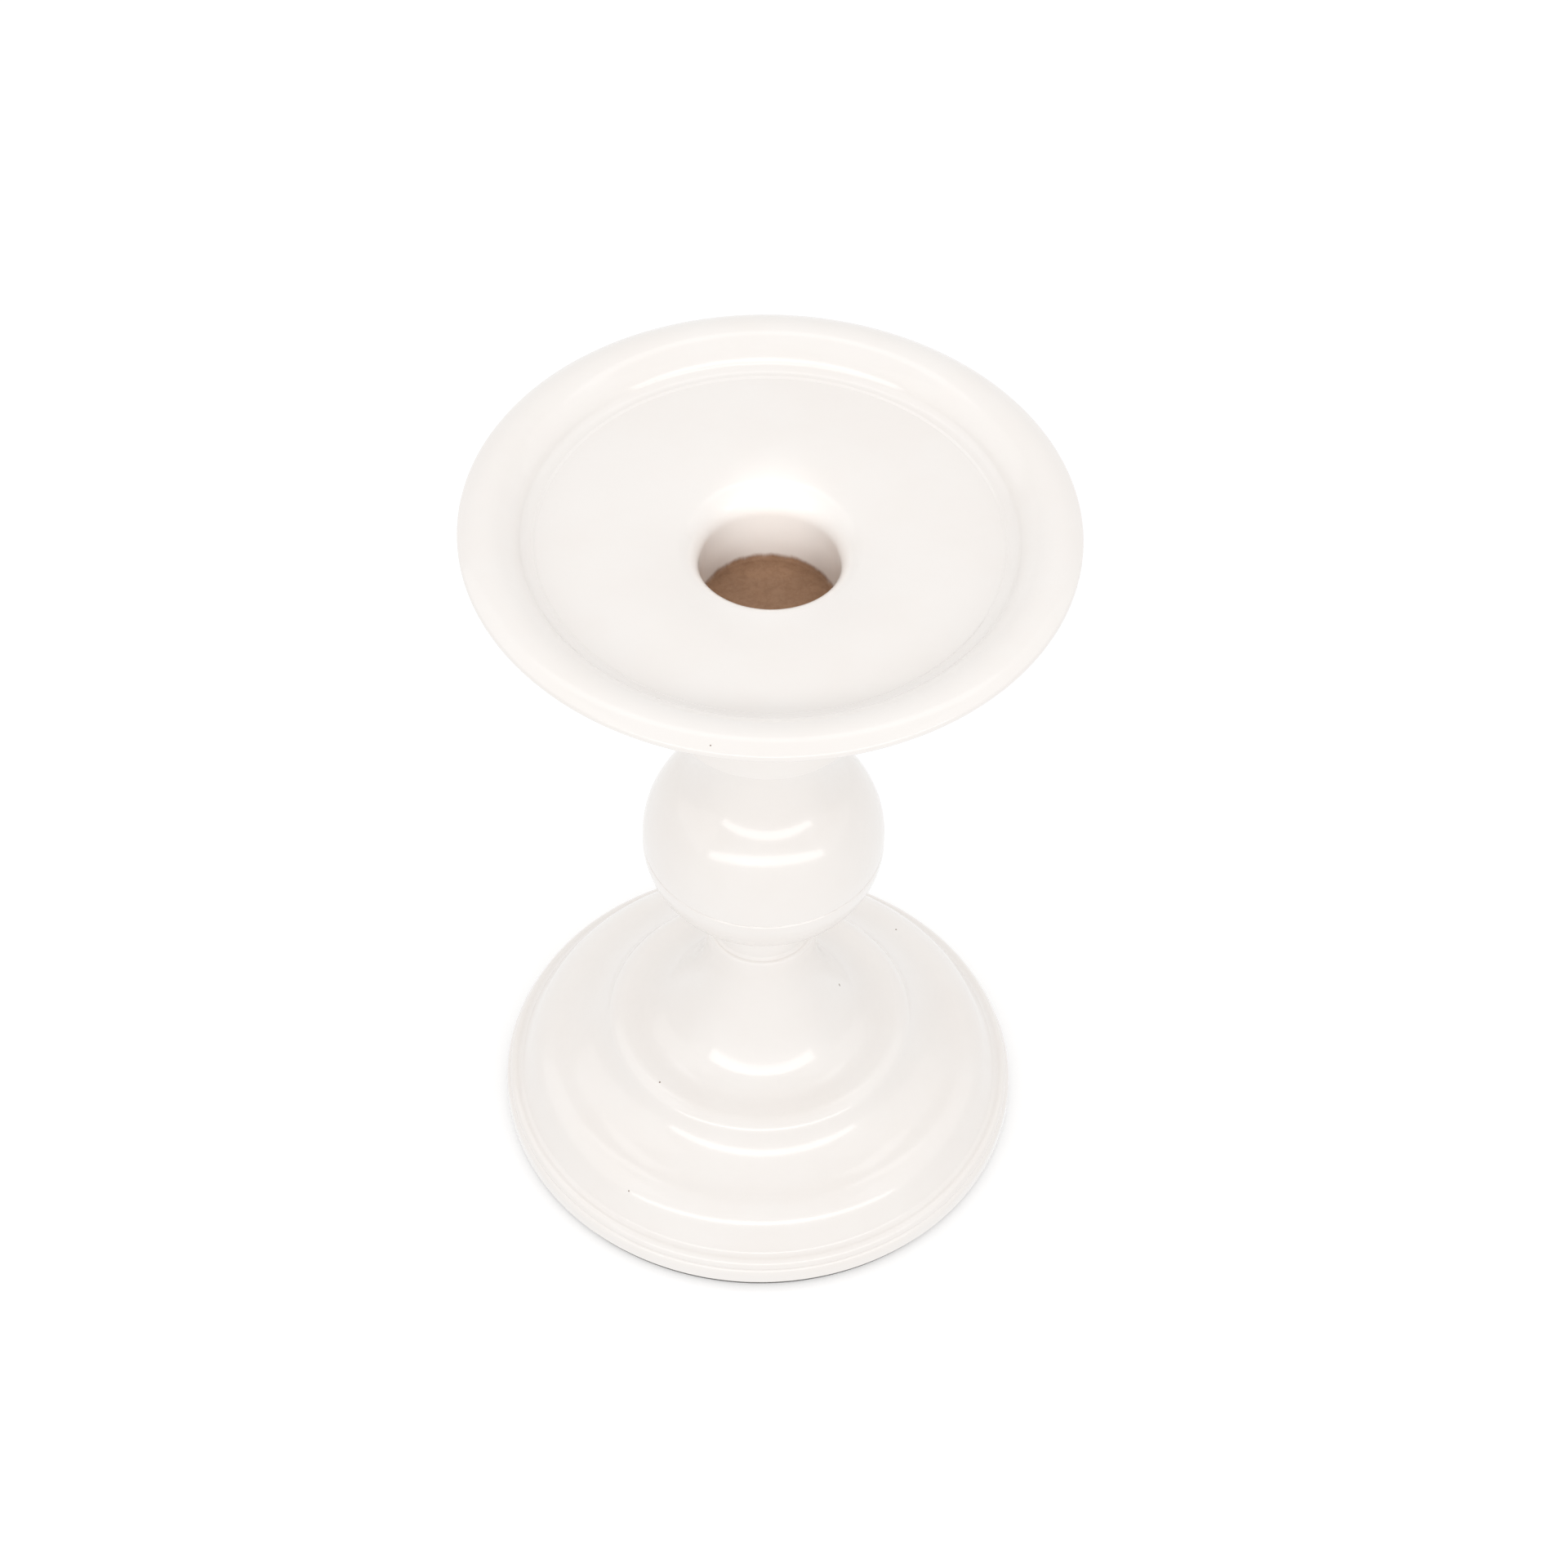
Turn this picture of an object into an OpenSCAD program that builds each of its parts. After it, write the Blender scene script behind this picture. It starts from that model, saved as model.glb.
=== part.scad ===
// Turned wooden candlestick: a dished candle plate on a socket cup, a ball stem and a
// stepped round base. Every turned piece is a profile spun about Z, and Z = 0 is the table.
// Profile angles are measured from the outward radial direction, so that 90 points up.

/* [Candle plate] */
// Overall height, from the table to the crest of the rim
height = 148; // [147:0.5:150]
// Outside diameter of the candle plate
plate_d = 100; // [99:0.5:102]
// Depth of the well below the crest of the rim
well_depth = 4.8; // [4.6:0.1:5]

/* [Candle socket] */
// Diameter of the candle socket
socket_d = 23; // [22:0.1:24]
// Height of the socket's floor above the table
socket_floor_z = 127.3; // [121:0.1:129]

/* [Stem] */
// Largest diameter of the ball
ball_d = 42.2; // [41.8:0.1:43]
// Height of the glued joint round the ball
ball_z = 70.6; // [70.2:0.1:70.8]
// Diameter of the waist under the ball
waist_d = 17.2; // [16.8:0.1:17.6]
// Height of the joint where the neck meets the cup
collar_z = 103.8; // [103.5:0.1:104.3]
// Diameter of the cup's collar
collar_d = 34; // [33.4:0.2:35]

/* [Base] */
// Outside diameter of the foot
foot_d = 93.6; // [92:0.2:96]
// Height of the joint at the top of the base's column
ledge_z = 46.6; // [46.4:0.1:47.2]
// Thickness of the felt pad
felt_t = 1; // [0.6:0.1:1.2]

/* [Joints] */
// Diameter of the stem's two tenons
tenon_d = 12; // [11:0.5:13]
// Length of the stem's two tenons
tenon_l = 13; // [12:0.5:14]
// Diameter of the loose dowel inside the ball
dowel_d = 10; // [9:0.5:12]
// Length of the loose dowel inside the ball
dowel_l = 24; // [20:1:26]
// Radial gap for glue round the tenons and the dowel
glue_gap = 0.1; // [0.05:0.01:0.15]
// Diameter of the base screw over its threads
screw_d = 4; // [3.5:0.1:4.2]
// Length of the base screw
screw_l = 40; // [38:1:42]

/* [Hidden] */

lacquer = "linen";
bare_beech = "burlywood";

fine = 6;                       // degrees turned in one edge of a round stretch
spin_facets = 180;
hole_facets = 96;
flute_facets = 16;

plate_r = plate_d / 2;
socket_r = socket_d / 2;
ball_r = ball_d / 2;
waist_r = waist_d / 2;
collar_r = collar_d / 2;
foot_r = foot_d / 2;
tenon_r = tenon_d / 2;
dowel_r = dowel_d / 2;
screw_r = screw_d / 2;

cup_top_z = height - 14;        // flat seat that the plate rests on
seat_r = 25.3;
spigot_r = 17;                  // raised ring of the cup, let into the plate
spigot_h = 1.6;
seam = 0.25;                    // eased edge on both sides of the ball's joint
glue_room = 0.8;                // empty depth past the end of a tenon or a dowel
chamfer = 0.8;                  // on the ends of the tenons and the dowel
screw_head_z = felt_t + 3.2;    // face of the screw's head, sunk in the foot
screw_head_r = screw_d;
screw_core_r = screw_r - 0.7;
through = 1;                    // how far a cut runs past the face that it opens in

// Points along an arc about (cx, cz)
function arc(cx, cz, radius, from, to) =
    let (steps = max(3, ceil(abs(to - from) / fine)))
    [for (i = [0:steps])
        let (a = from + (to - from) * i / steps)
        [cx + radius * cos(a), cz + radius * sin(a)]];

// Points along a curve from p to q whose two ends aim at the point via
function bow(p, via, q, steps = 14) =
    [for (i = [0:steps])
        let (t = i / steps)
        p * (1 - t) * (1 - t) + via * 2 * t * (1 - t) + q * t * t];

function unit(v) = v / norm(v);

// Arc that rounds the corner at a point between its two neighbours
function corner(before, at, after, radius) =
    let (
        u = unit(before - at),
        v = unit(after - at),
        half = acos(u * v) / 2,
        centre = at + unit(u + v) * radius / sin(half),
        start = at + u * radius / tan(half) - centre,
        finish = at + v * radius / tan(half) - centre,
        from = atan2(start.y, start.x),
        turn = (atan2(finish.y, finish.x) - from + 540) % 360 - 180
    )
    arc(centre.x, centre.y, radius, from, from + turn);

function spot(point) = [point[0], point[1]];

// Outline from points [r, z], where [r, z, radius] is a corner rounded to that radius
function softened(points) =
    [for (i = [0:len(points) - 1])
        each len(points[i]) < 3
            ? [points[i]]
            : corner(spot(points[i - 1]), spot(points[i]), spot(points[i + 1]), points[i][2])];

// The same outline without repeated points
function clean(points) =
    [for (i = [0:len(points) - 1])
        if (i == 0 || norm(points[i] - points[max(0, i - 1)]) > 0.01) points[i]];

module turned(outline) {
    rotate_extrude($fn = spin_facets) polygon(clean(outline));
}

module drilled(radius, from_z, to_z) {
    translate([0, 0, from_z]) cylinder(r = radius, h = to_z - from_z, $fn = hole_facets);
}

// Dished plate: rolled rim, stepped well floor, and a rounded mouth over the socket
module candle_plate() {
    well_z = height - well_depth;
    well_r = plate_r - 12.3;
    step = 0.3;
    crest = 6;
    crest_r = plate_r - 4;
    crest_z = height - crest;
    crest_end = 120;
    lip = 0.9;
    lip_angle = acos((plate_r - crest_r - lip) / (crest - lip));
    lip_r = plate_r - lip;
    lip_z = crest_z + (crest - lip) * sin(lip_angle);
    under_rise = 9.1;
    under_edge = arc(lip_r, lip_z, lip, -45, lip_angle);
    dish = 50;
    dish_r = 27;
    mouth = 5;
    mouth_r = socket_r + mouth;
    mouth_tilt = asin((dish_r - mouth_r) / (dish - mouth));
    mouth_z = well_z - dish + (dish - mouth) * cos(mouth_tilt);
    inner_slope = softened([
        [crest_r + crest * cos(crest_end), crest_z + crest * sin(crest_end)],
        [plate_r - 9, height - 1.95, 6],
        [plate_r - 10.5, well_z + step, 2.1],
        [well_r + 0.2, well_z + step],
        [well_r, well_z]
    ]);
    color(lacquer) turned(concat(
        [[socket_r, cup_top_z + spigot_h], [spigot_r + glue_gap, cup_top_z + spigot_h],
         [spigot_r + glue_gap, cup_top_z]],
        bow([seat_r + 0.2, cup_top_z], under_edge[0] - [under_rise, under_rise], under_edge[0]),
        under_edge,
        arc(crest_r, crest_z, crest, lip_angle, crest_end),
        inner_slope,
        arc(dish_r, well_z - dish, dish, 90, 90 + mouth_tilt),
        arc(mouth_r, mouth_z, mouth, 90 + mouth_tilt, 180)
    ));
}

// Cup under the plate: collar at the neck, flared seat for the plate, blind candle socket
module socket_cup() {
    cup_r = 14.9;
    outline = softened([
        [0, collar_z],
        [collar_r, collar_z, 0.5],
        [collar_r - 0.4, collar_z + 4.6, 1.3],
        [cup_r, collar_z + 7.7, 3],
        [cup_r + 0.7, cup_top_z - 10, 13],
        [seat_r - 0.5, cup_top_z - 1],
        [seat_r, cup_top_z],
        [spigot_r, cup_top_z],
        [spigot_r, cup_top_z + spigot_h],
        [0, cup_top_z + spigot_h]
    ]);
    color(lacquer) difference() {
        turned(outline);
        drilled(socket_r, socket_floor_z, cup_top_z + spigot_h + through);
        drilled(tenon_r + glue_gap, collar_z - through, collar_z + tenon_l + glue_room);
    }
}

// Neck and upper half of the ball, with a tenon that is glued up into the cup
module upper_stem() {
    neck_r = 10.3;
    outline = softened([
        [0, ball_z],
        [ball_r - seam, ball_z],
        [ball_r, ball_z + seam],
        [ball_r, ball_z + 8.5, 18.5],
        [neck_r, ball_z + 19, 15.5],
        [neck_r, collar_z - 3.6, 6],
        [neck_r + 1.9, collar_z],
        [tenon_r, collar_z],
        [tenon_r, collar_z + tenon_l - chamfer],
        [tenon_r - chamfer, collar_z + tenon_l],
        [0, collar_z + tenon_l]
    ]);
    color(lacquer) difference() {
        turned(outline);
        drilled(dowel_r + glue_gap, ball_z - through, ball_z + dowel_l / 2 + glue_room);
    }
}

// Fluted loose dowel across the joint in the middle of the ball
module ball_dowel() {
    flutes = 12;
    flute_r = 0.4;
    low_z = ball_z - dowel_l / 2;
    high_z = ball_z + dowel_l / 2;
    color(bare_beech) difference() {
        turned([[0, low_z], [dowel_r - chamfer, low_z], [dowel_r, low_z + chamfer],
                [dowel_r, high_z - chamfer], [dowel_r - chamfer, high_z], [0, high_z]]);
        for (i = [0:flutes - 1])
            rotate([0, 0, i * 360 / flutes]) translate([dowel_r, 0, low_z - through])
                cylinder(r = flute_r, h = dowel_l + 2 * through, $fn = flute_facets);
    }
}

// Lower half of the ball and the waist, with a tenon that is glued down into the base
module lower_stem() {
    waist_edge = 0.5;
    tenon_z = ledge_z - tenon_l;
    outline = softened([
        [0, tenon_z],
        [tenon_r - chamfer, tenon_z],
        [tenon_r, tenon_z + chamfer],
        [tenon_r, ledge_z],
        [waist_r + waist_edge, ledge_z],
        [waist_r, ledge_z + waist_edge],
        [waist_r, ball_z - 14.1, 4.6],
        [ball_r, ball_z - 9.5, 13],
        [ball_r, ball_z - seam],
        [ball_r - seam, ball_z],
        [0, ball_z]
    ]);
    color(lacquer) difference() {
        turned(outline);
        drilled(dowel_r + glue_gap, ball_z - dowel_l / 2 - glue_room, ball_z + through);
        drilled(screw_core_r + glue_gap, tenon_z - through, screw_head_z + screw_l + glue_room);
    }
}

// Column sweeping down to a shoulder, a coved step, and a foot edged with a band and a bead
module base() {
    edge = 0.6;
    bead = 1.3;
    band_z = felt_t + 2.5;
    bead_r = foot_r - 1.9;
    bead_z = felt_t + 3.9;
    column_r = 9.8;
    foot_edge = concat(
        [[0, felt_t], [foot_r - edge, felt_t], [foot_r, felt_t + edge]],
        arc(foot_r - bead, band_z, bead, 0, 59),
        arc(bead_r, bead_z, bead, -12.6, 90)
    );
    steps = softened([
        [bead_r, bead_z + bead],
        [bead_r - 0.82, bead_z + bead, 1.3],
        [foot_r - 6.5, felt_t + 12, 6.9],
        [foot_r - 16.2, felt_t + 13.4, 12.2],
        [foot_r - 20.2, felt_t + 20.85, 3.4],
        [column_r + 9.4, felt_t + 20.8, 7.3],
        [column_r, felt_t + 31.25, 27.5],
        [column_r, ledge_z, 0.8],
        [0, ledge_z]
    ]);
    hole_r = screw_r + 0.2;
    sink_h = screw_head_r - hole_r;
    color(lacquer) difference() {
        turned(concat(foot_edge, steps));
        drilled(tenon_r + glue_gap, ledge_z - tenon_l - glue_room, ledge_z + through);
        drilled(hole_r, felt_t - through, ledge_z);
        drilled(screw_head_r, felt_t - through, screw_head_z);
        translate([0, 0, screw_head_z])
            cylinder(r1 = screw_head_r, r2 = hole_r, h = sink_h, $fn = hole_facets);
    }
}

// Countersunk steel wood screw with a cross recess, driven up through the base into the stem
module base_screw() {
    tip_z = screw_head_z + screw_l;
    tip_l = 3;
    pitch = 1.8;
    threads = 11;
    first_z = tip_z - tip_l - threads * pitch;
    shank_r = screw_core_r + 0.3;
    slot_w = 0.9;
    slot_depth = 1.4;
    thread = [for (i = [0:threads - 1])
        let (z = first_z + i * pitch)
        each [[screw_core_r, z], [screw_r, z + pitch * 0.35], [screw_core_r, z + pitch * 0.7]]];
    color("silver") difference() {
        turned(concat(
            [[0, screw_head_z], [screw_head_r, screw_head_z],
             [shank_r, screw_head_z + screw_head_r - shank_r], [shank_r, first_z - 1]],
            thread,
            [[screw_core_r, tip_z - tip_l], [0, tip_z]]
        ));
        for (turn = [0, 90])
            rotate([0, 0, turn])
                translate([-screw_head_r / 2, -slot_w / 2, screw_head_z - through])
                    cube([screw_head_r, slot_w, slot_depth + through]);
    }
}

// Thin felt pad glued under the foot
module felt_pad() {
    inset = 0.8;
    color("dimgray") cylinder(r = foot_r - inset, h = felt_t, $fn = spin_facets);
}

candle_plate();
socket_cup();
upper_stem();
ball_dowel();
lower_stem();
base();
base_screw();
felt_pad();
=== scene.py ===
"""Looks of the turned candlestick: smooth lathe-turned pieces in satin lacquer over beech."""
import math

import bpy
from mathutils import Matrix, Vector


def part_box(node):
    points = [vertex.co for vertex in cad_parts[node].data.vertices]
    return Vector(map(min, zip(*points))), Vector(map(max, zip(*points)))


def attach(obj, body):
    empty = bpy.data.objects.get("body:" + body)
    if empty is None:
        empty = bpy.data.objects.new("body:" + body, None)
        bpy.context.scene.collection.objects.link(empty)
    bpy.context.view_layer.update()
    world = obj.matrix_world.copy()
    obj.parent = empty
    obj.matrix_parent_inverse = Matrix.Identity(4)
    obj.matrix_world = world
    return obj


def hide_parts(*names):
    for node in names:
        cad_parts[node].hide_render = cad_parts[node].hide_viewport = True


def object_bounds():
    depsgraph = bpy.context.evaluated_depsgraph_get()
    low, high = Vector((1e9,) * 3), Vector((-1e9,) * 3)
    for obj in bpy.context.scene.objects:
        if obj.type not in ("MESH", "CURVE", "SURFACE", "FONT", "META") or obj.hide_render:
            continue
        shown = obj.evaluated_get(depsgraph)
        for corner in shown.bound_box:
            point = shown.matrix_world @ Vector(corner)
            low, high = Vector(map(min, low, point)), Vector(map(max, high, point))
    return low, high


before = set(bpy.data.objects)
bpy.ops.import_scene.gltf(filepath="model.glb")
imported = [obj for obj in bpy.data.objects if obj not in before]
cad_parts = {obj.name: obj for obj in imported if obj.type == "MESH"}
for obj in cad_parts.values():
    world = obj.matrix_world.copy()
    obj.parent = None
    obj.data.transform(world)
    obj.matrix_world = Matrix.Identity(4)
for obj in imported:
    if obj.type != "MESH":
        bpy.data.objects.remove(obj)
cad_low, cad_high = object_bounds()

MM = 0.001

# ---------------------------------------------------------------- sizes, from the frame
plate_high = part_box("candle_plate")[1]
cup_low, cup_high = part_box("socket_cup")
neck_low, neck_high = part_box("upper_stem")
waist_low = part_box("lower_stem")[0]
base_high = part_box("base")[1]
dowel_low, dowel_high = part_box("ball_dowel")
screw_low, screw_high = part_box("base_screw")
felt_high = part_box("felt_pad")[1]

# The outlines below are in millimetres, as the design is
height = plate_high.z / MM
plate_r = plate_high.x / MM
seat_r = cup_high.x / MM
collar_z = cup_low.z / MM
spigot_top_z = cup_high.z / MM
ball_r = neck_high.x / MM
ball_z = neck_low.z / MM
ledge_z = base_high.z / MM
foot_r = base_high.x / MM
felt_t = felt_high.z / MM
felt_r = felt_high.x / MM
neck_tenon_z = neck_high.z / MM
waist_tenon_z = waist_low.z / MM
dowel_r = dowel_high.x / MM
screw_head_z = screw_low.z / MM
screw_tip_z = screw_high.z / MM
screw_head_r = screw_high.x / MM

# Sizes that no node's box gives, the same as the design's
SPIGOT_H = 1.6                  # ring on the cup that centres the plate
SPIGOT_R = 17.0
SOCKET_R = 11.5
SOCKET_FLOOR_Z = 127.3
WELL_DEPTH = 4.8
COLLAR_R = 17.0
WAIST_R = 8.6
COLUMN_R = 9.8
TENON_R = 6.0
GLUE_GAP = 0.1                  # round a tenon or the dowel
GLUE_ROOM = 0.8                 # past the end of a tenon, the dowel or the screw
CHAMFER = 0.8                   # on a tenon's end
SEAM = 0.25                     # depth of the joint line at the ball's equator
cup_top_z = spigot_top_z - SPIGOT_H
well_z = height - WELL_DEPTH


# ---------------------------------------------------------------- outlines
def arc(cx, cz, radius, start, end, step=2.5):
    """Points along an arc, in degrees from the outward direction."""
    steps = max(4, math.ceil(abs(end - start) / step))
    angles = [math.radians(start + (end - start) * i / steps) for i in range(steps + 1)]
    return [(cx + radius * math.cos(a), cz + radius * math.sin(a)) for a in angles]


def bow(p, via, q, steps=30):
    """Points along a curve from p to q whose ends aim at via."""
    points = []
    for i in range(steps + 1):
        t = i / steps
        a, b, c = (1 - t) ** 2, 2 * t * (1 - t), t * t
        points.append((a * p[0] + b * via[0] + c * q[0], a * p[1] + b * via[1] + c * q[1]))
    return points


def corner(before, at, after, radius):
    """The arc that rounds a corner between its two neighbours."""
    at = Vector(at)
    u = (Vector(before) - at).normalized()
    v = (Vector(after) - at).normalized()
    half = u.angle(v) / 2
    centre = at + (u + v).normalized() * radius / math.sin(half)
    start = at + u * radius / math.tan(half) - centre
    finish = at + v * radius / math.tan(half) - centre
    first = math.degrees(math.atan2(start.y, start.x))
    last = math.degrees(math.atan2(finish.y, finish.x))
    turn = (last - first + 540) % 360 - 180
    return arc(centre.x, centre.y, radius, first, first + turn)


def softened(points):
    """An outline from points (r, z), where (r, z, radius) is a rounded corner."""
    outline = []
    for i, point in enumerate(points):
        if len(point) < 3:
            outline.append(point)
        else:
            outline += corner(points[i - 1][:2], point[:2], points[i + 1][:2], point[2])
    return outline


def plate_outline():
    crest = 6.0
    crest_r = plate_r - 4
    crest_z = height - crest
    crest_end = 120
    lip = 0.9
    lip_angle = math.degrees(math.acos((plate_r - crest_r - lip) / (crest - lip)))
    lip_z = crest_z + (crest - lip) * math.sin(math.radians(lip_angle))
    edge = arc(plate_r - lip, lip_z, lip, -45, lip_angle)
    under_rise = 9.1
    via = (edge[0][0] - under_rise, edge[0][1] - under_rise)
    well_r = plate_r - 12.3
    step = 0.3
    dish = 50.0
    dish_r = 27.0
    mouth = 5.0
    mouth_r = SOCKET_R + mouth
    tilt = math.degrees(math.asin((dish_r - mouth_r) / (dish - mouth)))
    mouth_z = well_z - dish + (dish - mouth) * math.cos(math.radians(tilt))
    slope = softened([
        arc(crest_r, crest_z, crest, 0, crest_end)[-1],
        (plate_r - 9, height - 1.95, 6),
        (plate_r - 10.5, well_z + step, 2.1),
        (well_r + 0.35, well_z + step, 0.12),
        (well_r, well_z, 0.12),
        (well_r - 1, well_z),
    ])
    return (
        [(SOCKET_R, spigot_top_z), (SPIGOT_R + GLUE_GAP, spigot_top_z),
         (SPIGOT_R + GLUE_GAP, cup_top_z)]
        + bow((seat_r + 0.2, cup_top_z), via, edge[0])
        + edge
        + arc(crest_r, crest_z, crest, lip_angle, crest_end)
        + slope
        + arc(dish_r, well_z - dish, dish, 90, 90 + tilt)
        + arc(mouth_r, mouth_z, mouth, 90 + tilt, 180)
    )


def cup_outline():
    cup_r = 14.9
    mortise_r = TENON_R + GLUE_GAP
    mortise_top_z = neck_tenon_z + GLUE_ROOM
    return softened([
        (0, mortise_top_z),
        (mortise_r, mortise_top_z),
        (mortise_r, collar_z),
        (COLLAR_R, collar_z, 0.5),
        (COLLAR_R - 0.4, collar_z + 4.6, 1.3),
        (cup_r, collar_z + 7.7, 3),
        (cup_r + 0.7, cup_top_z - 10, 13),
        (seat_r - 0.5, cup_top_z - 1),
        (seat_r, cup_top_z),
        (SPIGOT_R, cup_top_z),
        (SPIGOT_R, spigot_top_z),
        (SOCKET_R, spigot_top_z),
        (SOCKET_R, SOCKET_FLOOR_Z, 0.6),
        (0, SOCKET_FLOOR_Z),
    ])


def upper_stem_outline():
    neck_r = 10.3
    dowel_hole_r = dowel_r + GLUE_GAP
    dowel_hole_z = dowel_high.z / MM + GLUE_ROOM
    return softened([
        (0, dowel_hole_z),
        (dowel_hole_r, dowel_hole_z),
        (dowel_hole_r, ball_z),
        (ball_r - SEAM, ball_z),
        (ball_r - 0.03, ball_z + SEAM, 0.15),
        (ball_r, ball_z + 8.5, 18.5),
        (neck_r, ball_z + 19, 15.5),
        (neck_r, collar_z - 3.6, 6),
        (neck_r + 1.9, collar_z),
        (TENON_R, collar_z),
        (TENON_R, neck_tenon_z - CHAMFER),
        (TENON_R - CHAMFER, neck_tenon_z),
        (0, neck_tenon_z),
    ])


def lower_stem_outline():
    edge = 0.5
    pilot_r = 1.4
    pilot_top_z = screw_tip_z + GLUE_ROOM
    dowel_hole_r = dowel_r + GLUE_GAP
    dowel_hole_z = dowel_low.z / MM - GLUE_ROOM
    return softened([
        (0, pilot_top_z),
        (pilot_r, pilot_top_z),
        (pilot_r, waist_tenon_z),
        (TENON_R - CHAMFER, waist_tenon_z),
        (TENON_R, waist_tenon_z + CHAMFER),
        (TENON_R, ledge_z),
        (WAIST_R + edge, ledge_z),
        (WAIST_R, ledge_z + edge, 0.4),
        (WAIST_R, ball_z - 14.1, 4.6),
        (ball_r, ball_z - 9.5, 13),
        (ball_r - 0.03, ball_z - SEAM, 0.15),
        (ball_r - SEAM, ball_z),
        (dowel_hole_r, ball_z),
        (dowel_hole_r, dowel_hole_z),
        (0, dowel_hole_z),
    ])


def base_outline():
    edge = 0.6
    bead = 1.3
    bead_r = foot_r - 1.9
    bead_z = felt_t + 3.9
    mortise_r = TENON_R + GLUE_GAP
    mortise_z = waist_tenon_z - GLUE_ROOM
    hole_r = 2.2
    sink_h = screw_head_r - hole_r
    holes = [
        (mortise_r, ledge_z),
        (mortise_r, mortise_z),
        (hole_r, mortise_z),
        (hole_r, screw_head_z + sink_h),
        (screw_head_r, screw_head_z),
        (screw_head_r, felt_t),
    ]
    foot_edge = (
        softened([(foot_r - 6, felt_t), (foot_r - edge, felt_t, 0.3), (foot_r, felt_t + edge, 0.6),
                  (foot_r, felt_t + 2)])[1:-1]
        + arc(foot_r - bead, felt_t + 2.5, bead, 0, 59)
        + arc(bead_r, bead_z, bead, -12.6, 90)
    )
    steps = softened([
        (bead_r, bead_z + bead),
        (bead_r - 0.82, bead_z + bead, 1.3),
        (foot_r - 6.5, felt_t + 12, 6.9),
        (foot_r - 16.2, felt_t + 13.4, 12.2),
        (foot_r - 20.2, felt_t + 20.85, 3.4),
        (COLUMN_R + 9.4, felt_t + 20.8, 7.3),
        (COLUMN_R, felt_t + 31.25, 27.5),
        (COLUMN_R, ledge_z, 0.8),
        (mortise_r, ledge_z),
    ])
    return holes + foot_edge + steps[:-1]


# ---------------------------------------------------------------- meshes
SEGMENTS = 256                  # round each lathe
SHARP_DEGREES = 32              # a sharper edge than this keeps its crease
MERGE = 0.004                   # outline points closer than this, in mm, become one


def lathe(name, outline, closed):
    """A solid turned about Z from an outline in millimetres; closed joins its two ends."""
    points = [outline[0]]
    for p in outline[1:]:
        if math.dist(p, points[-1]) > MERGE:
            points.append(p)
    if closed and math.dist(points[0], points[-1]) <= MERGE:
        points.pop()
    verts, rings = [], []
    for r, z in points:
        if r < MERGE:
            rings.append([len(verts)])
            verts.append((0, 0, z * MM))
            continue
        rings.append(list(range(len(verts), len(verts) + SEGMENTS)))
        for i in range(SEGMENTS):
            a = math.tau * i / SEGMENTS
            verts.append((r * MM * math.cos(a), r * MM * math.sin(a), z * MM))
    faces = []
    pairs = list(zip(rings, rings[1:]))
    if closed:
        pairs.append((rings[-1], rings[0]))
    for low, high in pairs:
        for i in range(SEGMENTS):
            j = (i + 1) % SEGMENTS
            if len(low) == 1:
                faces.append((low[0], high[j], high[i]))
            elif len(high) == 1:
                faces.append((low[i], low[j], high[0]))
            else:
                faces.append((low[i], low[j], high[j], high[i]))
    mesh = bpy.data.meshes.new(name)
    mesh.from_pydata(verts, [], faces)
    mesh.shade_smooth()
    mesh.set_sharp_from_angle(angle=math.radians(SHARP_DEGREES))
    piece = bpy.data.objects.new(name, mesh)
    bpy.context.scene.collection.objects.link(piece)
    return piece


def stand_for(piece, node, material):
    piece.data.materials.append(material)
    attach(piece, "root")
    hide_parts(node)


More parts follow.
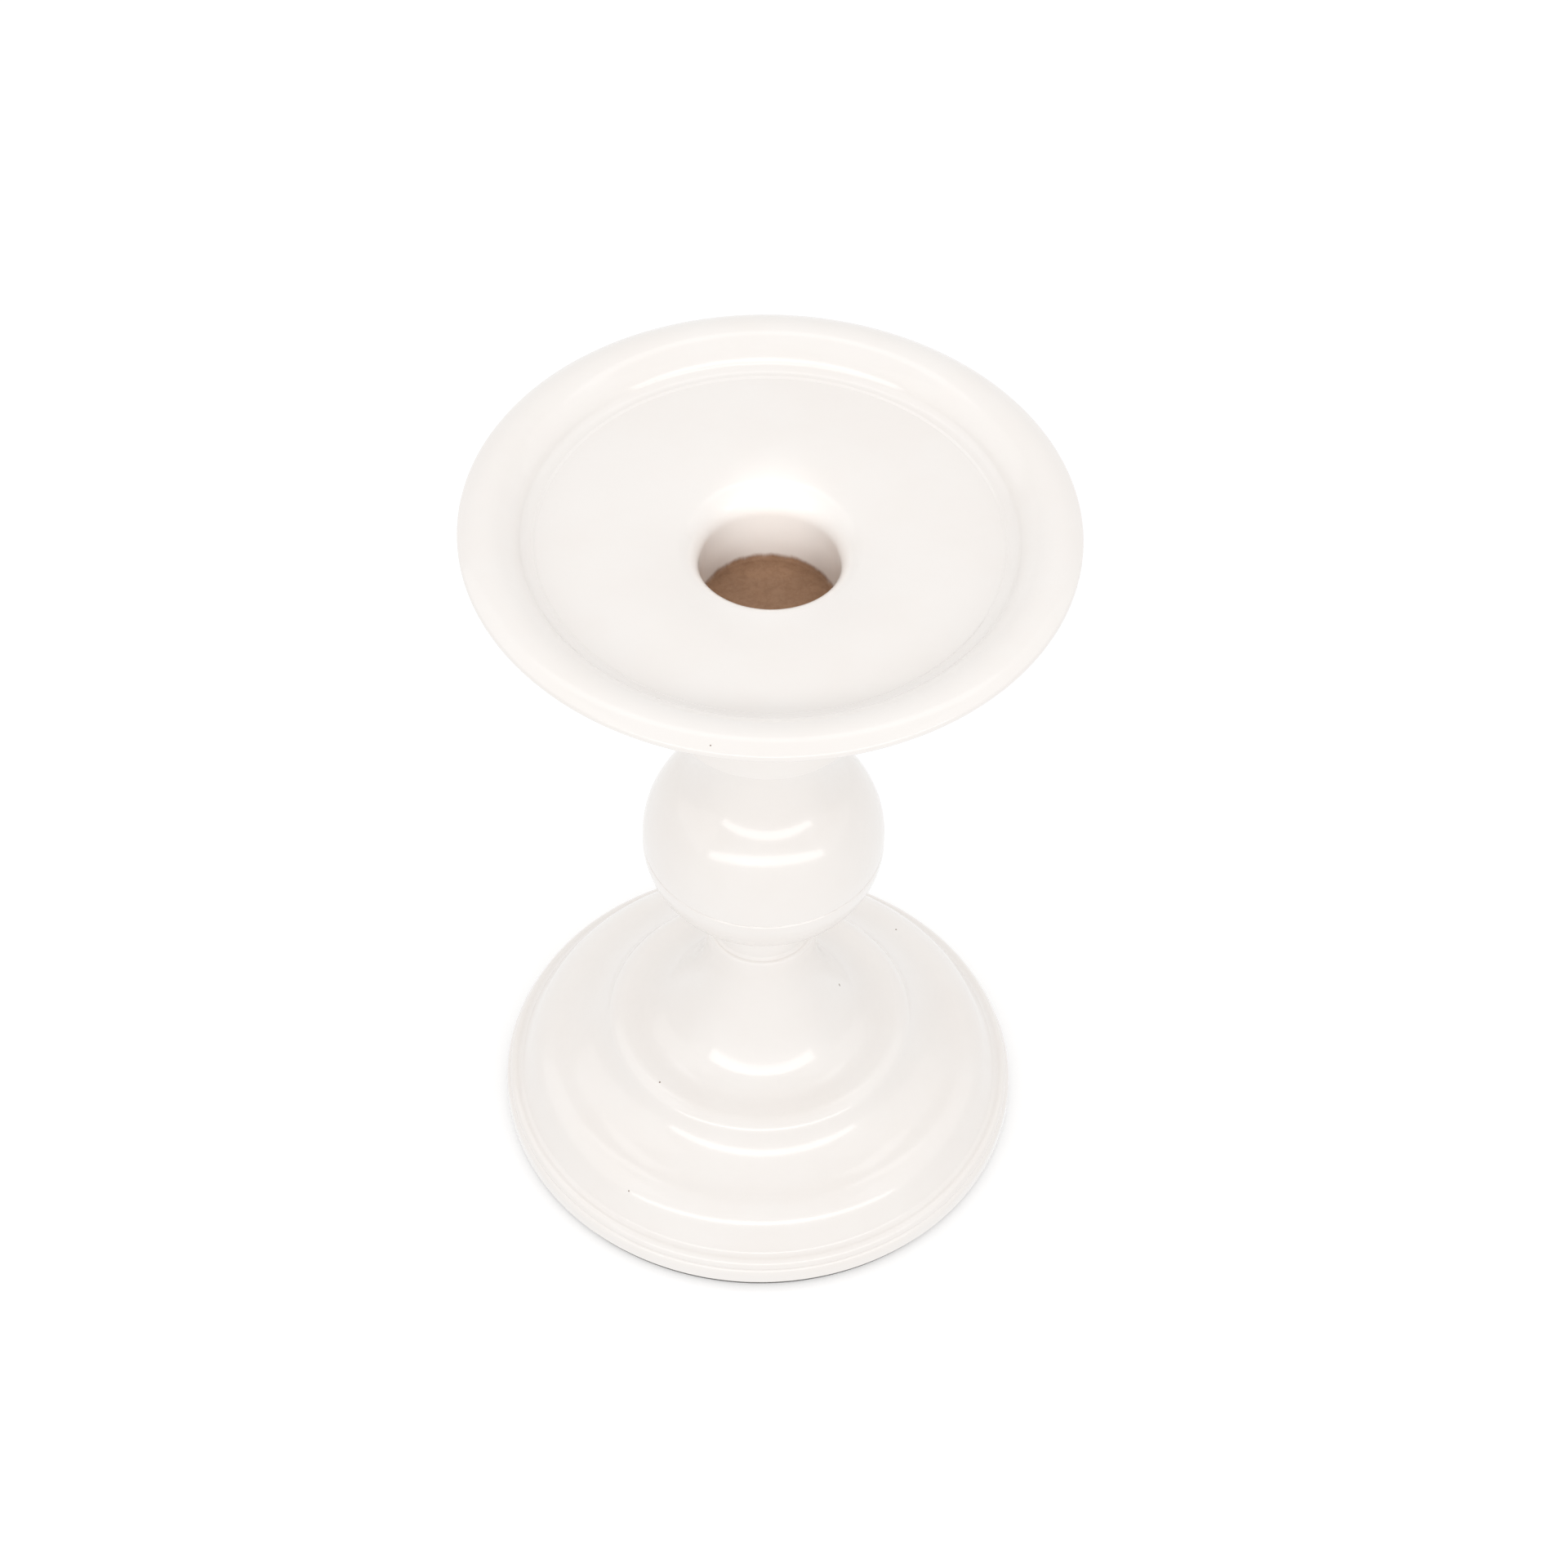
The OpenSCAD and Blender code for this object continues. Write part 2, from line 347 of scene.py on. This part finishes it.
# ---------------------------------------------------------------- shader helpers
class Nodes:
    """A material's node tree, written as short calls."""

    def __init__(self, name):
        self.material = bpy.data.materials.new(name)
        self.material.use_nodes = True
        self.tree = self.material.node_tree
        self.shader = self.tree.nodes["Principled BSDF"]
        self.coords = self.add("ShaderNodeTexCoord").outputs["Object"]

    def add(self, kind, inputs=None, **settings):
        node = self.tree.nodes.new(kind)
        for key, value in settings.items():
            setattr(node, key, value)
        for key, value in (inputs or {}).items():
            if isinstance(value, bpy.types.NodeSocket):
                self.tree.links.new(value, node.inputs[key])
            else:
                node.inputs[key].default_value = value
        return node

    def math(self, operation, *values):
        inputs = dict(enumerate(values))
        return self.add("ShaderNodeMath", inputs, operation=operation).outputs[0]

    def ramp(self, value, low, high, to_low=0.0, to_high=1.0):
        node = self.add(
            "ShaderNodeMapRange",
            {"Value": value, "From Min": low, "From Max": high,
             "To Min": to_low, "To Max": to_high},
            interpolation_type="SMOOTHSTEP",
        )
        return node.outputs["Result"]

    def stretched(self, scale):
        node = self.add("ShaderNodeMapping", {"Vector": self.coords, "Scale": scale})
        return node.outputs["Vector"]

    def noise(self, vector, scale, detail=2.0, roughness=0.5, distortion=0.0):
        node = self.add(
            "ShaderNodeTexNoise",
            {"Vector": vector, "Scale": scale, "Detail": detail, "Roughness": roughness,
             "Distortion": distortion},
        )
        return node.outputs["Fac"]

    def mix(self, factor, a, b):
        node = self.add("ShaderNodeMix", data_type="RGBA")
        for socket, value in (("Factor_Float", factor), ("A_Color", a), ("B_Color", b)):
            target = next(s for s in node.inputs if s.identifier == socket)
            if isinstance(value, bpy.types.NodeSocket):
                self.tree.links.new(value, target)
            else:
                target.default_value = value
        return next(s for s in node.outputs if s.identifier == "Result_Color")

    def bump(self, height_value, strength, distance, normal=None):
        inputs = {"Height": height_value, "Strength": strength, "Distance": distance}
        if normal is not None:
            inputs["Normal"] = normal
        return self.add("ShaderNodeBump", inputs).outputs["Normal"]

    def radius(self):
        split = self.add("ShaderNodeSeparateXYZ", {"Vector": self.coords})
        x, y = split.outputs["X"], split.outputs["Y"]
        return self.math("SQRT", self.math("ADD", self.math("MULTIPLY", x, x),
                                           self.math("MULTIPLY", y, y)))

    def height(self):
        return self.add("ShaderNodeSeparateXYZ", {"Vector": self.coords}).outputs["Z"]

    def set(self, **sockets):
        for name, value in sockets.items():
            socket = self.shader.inputs[name.replace("_", " ")]
            if isinstance(value, bpy.types.NodeSocket):
                self.tree.links.new(value, socket)
            else:
                socket.default_value = value


WHITE = (0.905, 0.868, 0.835, 1)
WHITE_WARM = (0.895, 0.852, 0.815, 1)
# Dark tone for dirt in the ball's joint line, and for painted shade in the plate well's inner corner
GRIME_AND_SHADE = (0.36, 0.31, 0.26, 1)
SPECK = (0.22, 0.15, 0.10, 1)
BEECH = (0.335, 0.19, 0.108, 1)     # aged bare wood
BEECH_DARK = (0.28, 0.153, 0.084, 1)
PAINT_IOR = 1.48
COAT_IOR = 1.5
COAT_ROUGHNESS = 0.12
RAGGED_EDGE = 1.6               # mm, how far the paint's lower edge wanders in the socket


def beech_colour(nodes):
    """Straight beech grain with short dark rays along it."""
    grain = nodes.noise(nodes.stretched((900, 900, 45)), 1.0, detail=5, roughness=0.62, distortion=0.3)
    rays = nodes.noise(nodes.stretched((2600, 2600, 260)), 1.0, detail=2)
    colour = nodes.mix(nodes.ramp(grain, 0.35, 0.68), BEECH, BEECH_DARK)
    fleck = nodes.ramp(rays, 0.64, 0.74)
    return nodes.mix(nodes.math("MULTIPLY", fleck, 0.5), colour, BEECH_DARK), grain


def joint_line(nodes, at_mm, half_width_mm, radius_mm, reach_mm=1.2):
    """1 in a thin band round a joint, near the surface at that radius."""
    band = nodes.math("ABSOLUTE", nodes.math("SUBTRACT", nodes.height(), at_mm * MM))
    near = nodes.ramp(band, half_width_mm * MM, 0.3 * half_width_mm * MM)
    off = nodes.math("ABSOLUTE", nodes.math("SUBTRACT", nodes.radius(), radius_mm * MM))
    return nodes.math("MULTIPLY", near, nodes.ramp(off, reach_mm * MM, 0.5 * reach_mm * MM))


def ring_line(nodes, radius_mm, half_width_mm, low_z_mm, toward):
    """1 in a thin arc on the top of the plate, on the side that faces `toward`."""
    off = nodes.math("ABSOLUTE", nodes.math("SUBTRACT", nodes.radius(), radius_mm * MM))
    near = nodes.ramp(off, half_width_mm * MM, 0.3 * half_width_mm * MM)
    side = nodes.add("ShaderNodeVectorMath", {0: nodes.coords, 1: toward}, operation="DOT_PRODUCT")
    near = nodes.math("MULTIPLY", near, nodes.ramp(side.outputs["Value"], 0.88 * radius_mm * MM,
                                                   0.97 * radius_mm * MM))
    return nodes.math("MULTIPLY", near, nodes.ramp(nodes.height(), low_z_mm * MM - MM, low_z_mm * MM))


def lacquer(name, grain_scale, grime_and_shade=(), specks=(), bare_below=None):
    """Hand-laid satin lacquer over turned wood: grain and turning lines show faintly through."""
    n = Nodes(name)
    tone = n.noise(n.coords, 55, detail=3, roughness=0.6)
    colour = n.mix(n.ramp(tone, 0.35, 0.7), WHITE, WHITE_WARM)
    marks = None
    # Each mark darkens the colour in a broken line: dirt along the ball's joint, painted shade in the
    # well's corner
    for mark, amount in grime_and_shade:
        broken = n.ramp(n.noise(n.coords, 420, detail=3, roughness=0.7), 0.42, 0.6, 0.25, 1.0)
        strength = n.math("MULTIPLY", n.math("MULTIPLY", mark(n), amount), broken)
        marks = strength if marks is None else n.math("MAXIMUM", marks, strength)
    if marks is not None:
        colour = n.mix(marks, colour, GRIME_AND_SHADE)
    pit = None
    for spot, size in specks:
        wander = n.noise(n.coords, 2600, detail=2)
        gap = n.add("ShaderNodeVectorMath", {0: n.coords, 1: spot}, operation="DISTANCE")
        gap = n.math("ADD", gap.outputs["Value"], n.math("MULTIPLY", wander, 0.5 * size))
        inside = n.ramp(gap, 1.3 * size, 0.7 * size)
        pit = inside if pit is None else n.math("MAXIMUM", pit, inside)
    if pit is not None:
        colour = n.mix(pit, colour, SPECK)

    film = 1.0
    if bare_below is not None:
        wood, _ = beech_colour(n)
        edge_noise = n.noise(n.stretched((260, 260, 120)), 1.0, detail=4, roughness=0.65)
        offset = n.math("MULTIPLY", n.math("SUBTRACT", edge_noise, 0.5), RAGGED_EDGE * MM)
        ragged = n.math("ADD", n.height(), offset)
        painted = n.ramp(ragged, bare_below[0] * MM, bare_below[1] * MM)
        inside = n.ramp(n.radius(), (SOCKET_R + 0.4) * MM, (SOCKET_R + 0.2) * MM)
        film = n.math("SUBTRACT", 1.0, n.math("MULTIPLY", inside, n.math("SUBTRACT", 1.0, painted)))
        colour = n.mix(film, wood, colour)

    peel = n.noise(n.coords, 1500, detail=2, roughness=0.45)
    sanding = n.noise(n.coords, 190, detail=2)
    grain = n.noise(n.stretched(grain_scale), 1.0, detail=4, roughness=0.6)
    rings = n.add("ShaderNodeCombineXYZ", {"X": n.radius(), "Z": n.height()}).outputs[0]
    turning = n.noise(rings, 2400, detail=3, roughness=0.6)
    normal = n.bump(sanding, 0.22, 0.4 * MM)
    normal = n.bump(grain, 0.10, 0.12 * MM, normal)
    normal = n.bump(turning, 0.07, 0.06 * MM, normal)
    normal = n.bump(peel, 0.10, 0.05 * MM, normal)
    if pit is not None:
        normal = n.bump(pit, -0.8, 0.12 * MM, normal)
    rough = n.ramp(n.noise(n.coords, 320, detail=3, roughness=0.6), 0.3, 0.7, 0.30, 0.40)
    if bare_below is not None:
        rough = n.math("ADD", rough, n.math("MULTIPLY", n.math("SUBTRACT", 1.0, film), 0.35))
    n.set(Coat_Weight=film)
    n.set(Base_Color=colour, Roughness=rough, Normal=normal)
    n.shader.inputs["IOR"].default_value = PAINT_IOR
    n.shader.inputs["Coat Roughness"].default_value = COAT_ROUGHNESS
    n.shader.inputs["Coat IOR"].default_value = COAT_IOR
    return n.material


def beech():
    n = Nodes("bare_beech")
    colour, grain = beech_colour(n)
    n.set(Base_Color=colour, Roughness=n.ramp(grain, 0.3, 0.7, 0.55, 0.72),
          Normal=n.bump(grain, 0.4, 0.15 * MM))
    return n.material


def zinc_steel():
    n = Nodes("zinc_steel")
    spangle = n.noise(n.coords, 900, detail=3)
    rings = n.add("ShaderNodeCombineXYZ", {"X": n.radius(), "Z": n.height()}).outputs[0]
    lines = n.noise(rings, 5200, detail=2)
    n.set(Base_Color=n.mix(n.ramp(spangle, 0.35, 0.65), (0.62, 0.62, 0.6, 1), (0.5, 0.51, 0.52, 1)),
          Metallic=1.0, Roughness=n.ramp(spangle, 0.3, 0.7, 0.24, 0.42),
          Normal=n.bump(lines, 0.25, 0.03 * MM))
    return n.material


# Dark felt under the foot; its dark colour also stands in for the painted contact shadow where the
# foot meets the floor
def felt():
    n = Nodes("felt")
    tuft = n.noise(n.coords, 700, detail=4, roughness=0.7)
    fibre = n.noise(n.stretched((5200, 900, 2600)), 1.0, detail=3, roughness=0.7, distortion=1.2)
    cross = n.noise(n.stretched((900, 5200, 2600)), 1.0, detail=3, roughness=0.7, distortion=1.2)
    hairs = n.math("MAXIMUM", fibre, cross)
    shade = n.mix(n.ramp(hairs, 0.45, 0.75), (0.075, 0.07, 0.065, 1), (0.19, 0.18, 0.165, 1))
    n.set(Base_Color=n.mix(n.ramp(tuft, 0.35, 0.7, 0.0, 0.45), shade, (0.12, 0.11, 0.10, 1)),
          Roughness=0.95, Normal=n.bump(n.math("ADD", hairs, tuft), 0.7, 0.25 * MM))
    n.shader.inputs["Sheen Weight"].default_value = 0.5
    n.shader.inputs["Sheen Roughness"].default_value = 0.5
    return n.material


# ---------------------------------------------------------------- the object
ACROSS = (60, 700, 700)         # grain of the plate and the base runs along X
ALONG = (800, 800, 60)          # grain of the spindle runs along Z
FRONT_RIGHT = (0.68, -0.73, 0)

# Dark specks in the lacquer: where, and how large, in metres
PLATE_SPECKS = [((-0.00798, -0.0483, 0.1472), 0.00016)]
BASE_SPECKS = [
    ((0.01447, 0.0013, 0.0274), 0.00034),
    ((0.0253, 0.026, 0.0136), 0.0002),
    ((-0.0176, -0.0178, 0.0218), 0.0002),
    ((-0.0225, -0.0344, 0.0112), 0.00018),
]


def equator_line(nodes):
    return joint_line(nodes, ball_z, 0.22, ball_r - SEAM)


# Painted shade: the well's inner corner is darkened on its front-right side
def well_corner_shade(nodes):
    return ring_line(nodes, plate_r - 12.1, 0.2, well_z - 0.2, FRONT_RIGHT)


# The plate's lacquer carries painted shade along the well's front-right inner corner
piece = lathe("candle_plate_turned", plate_outline(), closed=True)
stand_for(piece, "candle_plate",
          lacquer("lacquer_plate", ACROSS, grime_and_shade=[(well_corner_shade, 0.3)], specks=PLATE_SPECKS))

piece = lathe("socket_cup_turned", cup_outline(), closed=False)
stand_for(piece, "socket_cup",
          lacquer("lacquer_cup", ALONG, bare_below=(127.5, 128.9)))

piece = lathe("upper_stem_turned", upper_stem_outline(), closed=False)
stand_for(piece, "upper_stem",
          lacquer("lacquer_upper", ALONG, grime_and_shade=[(equator_line, 0.2)]))

piece = lathe("lower_stem_turned", lower_stem_outline(), closed=False)
stand_for(piece, "lower_stem",
          lacquer("lacquer_lower", ALONG, grime_and_shade=[(equator_line, 0.2)]))

piece = lathe("base_turned", base_outline(), closed=True)
stand_for(piece, "base",
          lacquer("lacquer_base", ACROSS, specks=BASE_SPECKS))

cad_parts["ball_dowel"].data.materials.clear()
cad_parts["ball_dowel"].data.materials.append(beech())
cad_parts["base_screw"].data.materials.clear()
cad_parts["base_screw"].data.materials.append(zinc_steel())

# The dark felt pad also gives the painted shadow line under the foot
pad = lathe("felt_pad_cut", softened([
    (0, 0), (felt_r, 0, 0.15), (felt_r, felt_t, 0.2), (0, felt_t)]), closed=False)
stand_for(pad, "felt_pad", felt())

# ---------------------------------------------------------------- floor, light and camera
object_height = cad_high.z - cad_low.z
FLOOR_HALF = 40 * object_height
FLOOR_GLOW = 0.14               # lifts the soft shadow round the foot


def floor():
    n = Nodes("pale_floor")
    cloudy = n.noise(n.coords, 6, detail=3)
    n.set(Base_Color=n.mix(cloudy, (0.93, 0.93, 0.93, 1), (0.91, 0.91, 0.91, 1)), Roughness=0.9)
    n.shader.inputs["Specular IOR Level"].default_value = 0.1
    n.shader.inputs["Emission Color"].default_value = (1, 1, 1, 1)
    n.shader.inputs["Emission Strength"].default_value = FLOOR_GLOW
    mesh = bpy.data.meshes.new("floor")
    corners = [(x * FLOOR_HALF, y * FLOOR_HALF, 0) for x, y in ((-1, -1), (1, -1), (1, 1), (-1, 1))]
    mesh.from_pydata(corners, [], [(0, 1, 2, 3)])
    mesh.materials.append(n.material)
    ground = bpy.data.objects.new("floor", mesh)
    # The sky's light from below stands in for the floor's bounce and reflection
    ground.visible_diffuse = False
    ground.visible_glossy = False
    bpy.context.scene.collection.objects.link(ground)


def aim_light(data, azimuth, elevation, distance, target):
    """Hang a light that looks at the target; azimuth 0 is the camera's side."""
    lamp = bpy.data.objects.new(data.name, data)
    bpy.context.scene.collection.objects.link(lamp)
    a, e = math.radians(azimuth), math.radians(elevation)
    out = Vector((math.sin(a) * math.cos(e), -math.cos(a) * math.cos(e), math.sin(e)))
    lamp.location = target + out * distance
    lamp.rotation_euler = (-out).to_track_quat("-Z", "Y").to_euler()


def area_light(name, azimuth, elevation, distance, width, depth, power):
    data = bpy.data.lights.new(name, "AREA")
    data.shape = "RECTANGLE"
    data.size = width
    data.size_y = depth
    data.energy = power
    aim_light(data, azimuth, elevation, distance, Vector((0, 0, 0.6 * object_height)))


floor()

# Name, azimuth, elevation, distance, width, depth, power
LIGHTS = [
    ("front_strip", 4, 29, 1.2, 3.2, 0.24, 6.8),
    ("ceiling_strip", 180, 78, 1.3, 1.6, 0.3, 1.4),
    ("left_box", -90, 35, 1.4, 1.6, 1.2, 2.5),
    ("right_box", 90, 35, 1.4, 1.6, 1.2, 1.8),
]
for light in LIGHTS:
    area_light(*light)

SOCKET_LIGHT = 14               # a narrow beam from the camera's side that fills the socket
BEAM_ELEVATION = 34
BEAM_DISTANCE = 1.0
BEAM_RADIUS = 0.012             # where it meets the socket's far wall
BEAM_SOURCE_RADIUS = 0.003


def socket_light():
    data = bpy.data.lights.new("socket_light", "SPOT")
    data.energy = SOCKET_LIGHT
    data.spot_size = 2 * math.atan(BEAM_RADIUS / BEAM_DISTANCE)
    data.spot_blend = 1.0
    data.shadow_soft_size = BEAM_SOURCE_RADIUS
    far_wall = Vector((0, 0.011, 0.909 * object_height))
    aim_light(data, 0, BEAM_ELEVATION, BEAM_DISTANCE, far_wall)


socket_light()

# Brightness from every side alike, and how much more comes from each direction
SKY = {"even": 0.57, "zenith": 0.27, "front": 0.18, "back": 0.42, "sides": 0.10, "below": 0.5}


def sky():
    """A white studio whose brightness changes with direction."""
    world = bpy.data.worlds.new("studio")
    world.use_nodes = True
    tree = world.node_tree
    background = tree.nodes["Background"]
    split = tree.nodes.new("ShaderNodeSeparateXYZ")
    tree.links.new(tree.nodes.new("ShaderNodeTexCoord").outputs["Generated"], split.inputs[0])

    def step(operation, a, b=0.0):
        node = tree.nodes.new("ShaderNodeMath")
        node.operation = operation
        for i, value in enumerate((a, b)):
            if isinstance(value, bpy.types.NodeSocket):
                tree.links.new(value, node.inputs[i])
            else:
                node.inputs[i].default_value = value
        return node.outputs[0]

    x, y, z = split.outputs["X"], split.outputs["Y"], split.outputs["Z"]
    up = step("MAXIMUM", z)
    level = step("SUBTRACT", 1.0, step("ABSOLUTE", z))
    lobes = {
        "zenith": step("MULTIPLY", up, up),
        "front": step("MULTIPLY", level, step("MAXIMUM", step("MULTIPLY", y, -1.0))),
        "back": step("MULTIPLY", level, step("MAXIMUM", y)),
        "sides": step("MULTIPLY", level, step("ABSOLUTE", x)),
        "below": step("MAXIMUM", step("MULTIPLY", z, -1.0)),
    }
    total = SKY["even"]
    for name, lobe in lobes.items():
        total = step("ADD", step("MULTIPLY", lobe, SKY[name]), total)
    tree.links.new(total, background.inputs["Strength"])
    background.inputs["Color"].default_value = (1, 1, 1, 1)
    bpy.context.scene.world = world


sky()
bpy.context.scene.view_settings.view_transform = "Standard"

# The camera fitted to the photograph
LENS = 90
SENSOR = 36
NEAR = 0.01
ELEVATION = math.radians(48.66)
ROLL = math.radians(1.62)
aim = Vector((0.0033, 0, 0.5673 * object_height))
distance = 4.544 * object_height
camera = bpy.data.objects.new("camera", bpy.data.cameras.new("camera"))
camera.data.lens = LENS
camera.data.sensor_width = SENSOR
camera.data.clip_start = NEAR
bpy.context.scene.collection.objects.link(camera)
camera.matrix_world = (
    Matrix.Translation(aim + Vector((0, -math.cos(ELEVATION), math.sin(ELEVATION))) * distance)
    @ Matrix.Rotation(math.pi / 2 - ELEVATION, 4, "X")
    @ Matrix.Rotation(ROLL, 4, "Z")
)
bpy.context.scene.camera = camera

bpy.context.view_layer.update()
